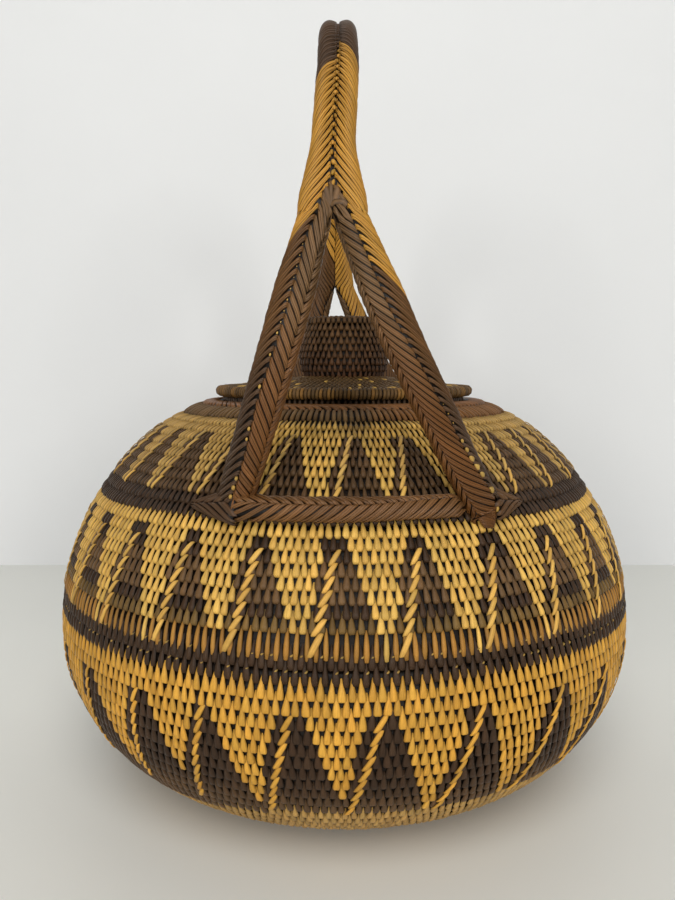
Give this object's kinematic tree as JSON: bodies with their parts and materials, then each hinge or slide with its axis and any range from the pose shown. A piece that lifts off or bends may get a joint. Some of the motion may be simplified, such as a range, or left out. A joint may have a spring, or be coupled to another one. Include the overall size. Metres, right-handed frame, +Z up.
{
  "type": "lidded basket",
  "caption": "Round coiled straw basket with a lift-off knobbed lid and a tall arched handle forked at both ends and bound in cane strips.",
  "frame": {"origin": "centre of the flat base, on the surface that the basket stands on", "axes": "+Z up; the handle's arch stands in a plane parallel to YZ, its near fork towards -Y; the crossbars run along X"},
  "size_m": [0.26, 0.26, 0.3287],
  "materials": {
    "natural_straw": "satin coiled straw, pale and dark stitches",
    "dyed_straw": "satin dark-dyed stitches",
    "brown_binding": "satin brown cane strips",
    "golden_binding": "satin golden cane strips",
    "cane": "bare cane"
  },
  "bodies": {
    "basket": {"base_coil": "natural_straw", "wall_lower": "natural_straw", "wall_middle": "natural_straw", "wall_shoulder": "natural_straw", "collar": "dyed_straw", "rim_braid": "brown_binding", "cane_left": "cane", "cane_right": "cane", "grip_binding_top": "brown_binding", "grip_binding_near": "golden_binding", "grip_binding_far": "golden_binding", "leg_binding_near_left": "brown_binding", "leg_binding_near_right": "brown_binding", "leg_binding_far_left": "brown_binding", "leg_binding_far_right": "brown_binding", "foot_lashing_near_left": "brown_binding", "foot_lashing_near_right": "brown_binding", "foot_lashing_far_left": "brown_binding", "foot_lashing_far_right": "brown_binding", "crossbar_near": "brown_binding", "crossbar_far": "brown_binding"},
    "lid": {"lid_disc": "dyed_straw", "lid_edge": "dyed_straw", "lid_seat_ring": "natural_straw", "knob_wall": "dyed_straw", "knob_cap": "dyed_straw"}
  },
  "joints": [
    {"name": "lid_lift", "type": "slide", "parent": "basket", "child": "lid", "axis": [0, 0, 1], "range_m": [0, 0.1]}
  ]
}
